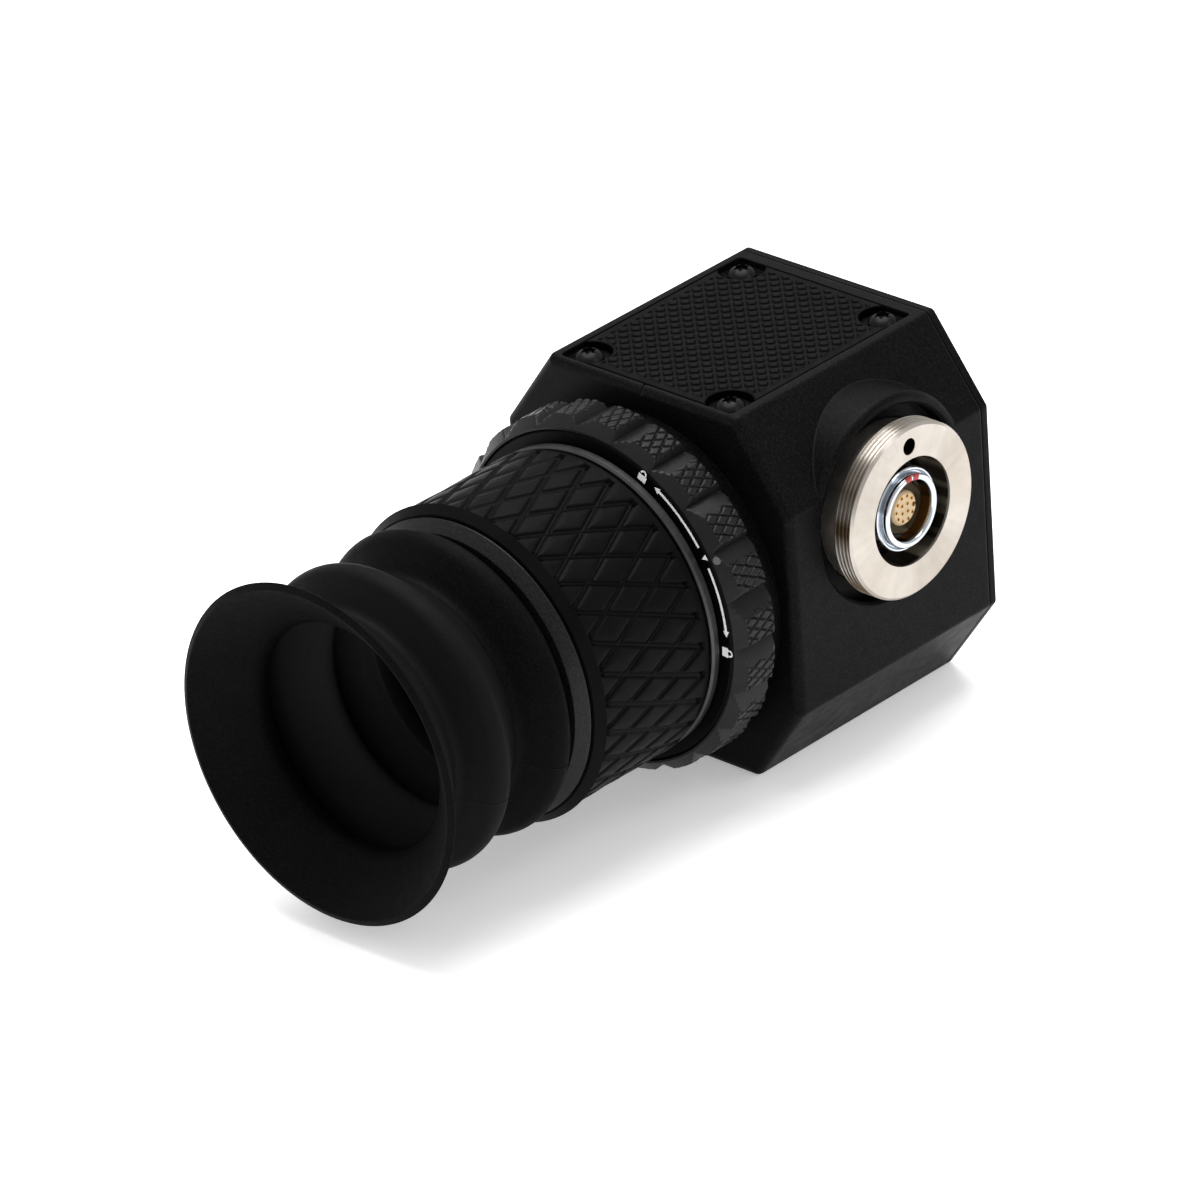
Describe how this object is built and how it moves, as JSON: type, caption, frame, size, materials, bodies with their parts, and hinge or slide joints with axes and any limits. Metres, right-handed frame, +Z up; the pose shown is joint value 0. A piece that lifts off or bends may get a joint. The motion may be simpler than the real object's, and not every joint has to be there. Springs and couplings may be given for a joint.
{
  "type": "electronic viewfinder",
  "caption": "Electronic viewfinder: a chamfered metal box with a knurled lock ring, a diamond-grip focus barrel, a rubber bellows eyecup and a round side connector.",
  "frame": {"origin": "middle of the box's flat underside", "axes": "+Z up; the optical axis runs along Y and the eye is at -Y; +X out of the connector collar"},
  "size_m": [0.0575, 0.1108, 0.0567],
  "materials": {
    "black_anodised": "satin black anodised",
    "grip_black": "black anodised with raised studs",
    "ring_black": "black anodised with knurled pads",
    "print_band": "black anodised with white marks",
    "barrel_black": "black anodised with a diamond grip",
    "collar_steel": "turned",
    "screw_steel": "bright",
    "screw_black": "black oxide",
    "nut_brass": "turned",
    "socket_chrome": "polished",
    "trim_black": "gloss black anodised",
    "retainer_black": "satin black anodised",
    "inner_aluminium": "dark anodised",
    "cup_rubber": "matte",
    "seal_rubber": "matte",
    "pad_rubber": "soft",
    "insert_plastic": "moulded",
    "contact_gold": "gold plated",
    "board_green": "solder mask",
    "chip_black": "moulded",
    "ribbon_amber": "film",
    "frame_plastic": "moulded",
    "display_black": "gloss",
    "clear_glass": "coated"
  },
  "bodies": {
    "viewfinder_body": {"housing_shell": "black_anodised", "rear_cover": "black_anodised", "rear_gasket": "seal_rubber", "rear_cover_screws": "screw_black", "top_grip_plate": "grip_black", "top_plate_screws": "screw_black", "connector_collar": "collar_steel", "collar_seal": "seal_rubber", "collar_nut": "nut_brass", "socket_shell": "socket_chrome", "socket_insert": "insert_plastic", "socket_contacts": "contact_gold", "socket_nut": "nut_brass", "socket_adapter": "board_green", "socket_ribbon": "ribbon_amber", "display_ribbon": "ribbon_amber", "ribbon_headers": "chip_black", "driver_board": "board_green", "board_standoffs": "nut_brass", "board_screws": "screw_steel", "processor": "chip_black", "heat_pad": "pad_rubber", "board_chips": "chip_black", "display_frame": "frame_plastic", "display_glass": "clear_glass", "microdisplay": "display_black", "display_board": "board_green", "frame_screws": "screw_steel", "front_window": "clear_glass", "window_ring": "inner_aluminium", "mount_flange": "black_anodised", "flange_screws": "screw_steel", "index_ring": "print_band", "eyepiece_tube": "inner_aluminium", "trim_ring": "trim_black", "barrel_o_ring": "seal_rubber", "eyecup_retainer": "retainer_black", "eyecup": "cup_rubber"},
    "lock_ring": {"lock_ring": "ring_black"},
    "lock_pin_1": {"lock_pin_1": "screw_steel"},
    "lock_pin_2": {"lock_pin_2": "screw_steel"},
    "lock_pin_3": {"lock_pin_3": "screw_steel"},
    "focus_barrel": {"focus_barrel": "barrel_black"},
    "lens_cell": {"lens_cell": "inner_aluminium", "guide_pins": "nut_brass", "field_lens": "clear_glass", "lens_spacer": "inner_aluminium", "eye_lens": "clear_glass", "cell_ring": "inner_aluminium"}
  },
  "joints": [
    {"name": "lock_ring_turn", "type": "hinge", "parent": "viewfinder_body", "child": "lock_ring", "pos_m": [0, -0.02885, 0.0284], "axis": [0, -1, 0], "range_deg": [-24, 24]},
    {"name": "focus_turn", "type": "hinge", "parent": "viewfinder_body", "child": "focus_barrel", "pos_m": [0, -0.04645, 0.0284], "axis": [0, -1, 0], "range_deg": [-60, 60]},
    {"name": "lens_cell_travel", "type": "slide", "parent": "viewfinder_body", "child": "lens_cell", "axis": [0, -1, 0], "range_m": [-0.0025, 0.0025]},
    {"name": "lock_pin_1_slide", "type": "slide", "parent": "viewfinder_body", "child": "lock_pin_1", "axis": [0, 0, 1], "range_m": [-0.0005, 0.0005]},
    {"name": "lock_pin_2_slide", "type": "slide", "parent": "viewfinder_body", "child": "lock_pin_2", "axis": [-0.866, 0, -0.5], "range_m": [-0.0005, 0.0005]},
    {"name": "lock_pin_3_slide", "type": "slide", "parent": "viewfinder_body", "child": "lock_pin_3", "axis": [0.866, 0, -0.5], "range_m": [-0.0005, 0.0005]}
  ],
  "couplings": [
    {"joint": "lens_cell_travel", "follows": "focus_turn", "m_per_rad": 0.0023873},
    {"joint": "lock_pin_1_slide", "follows": "lock_ring_turn", "m_per_rad": 0.0011937},
    {"joint": "lock_pin_2_slide", "follows": "lock_ring_turn", "m_per_rad": 0.0011937},
    {"joint": "lock_pin_3_slide", "follows": "lock_ring_turn", "m_per_rad": 0.0011937}
  ]
}
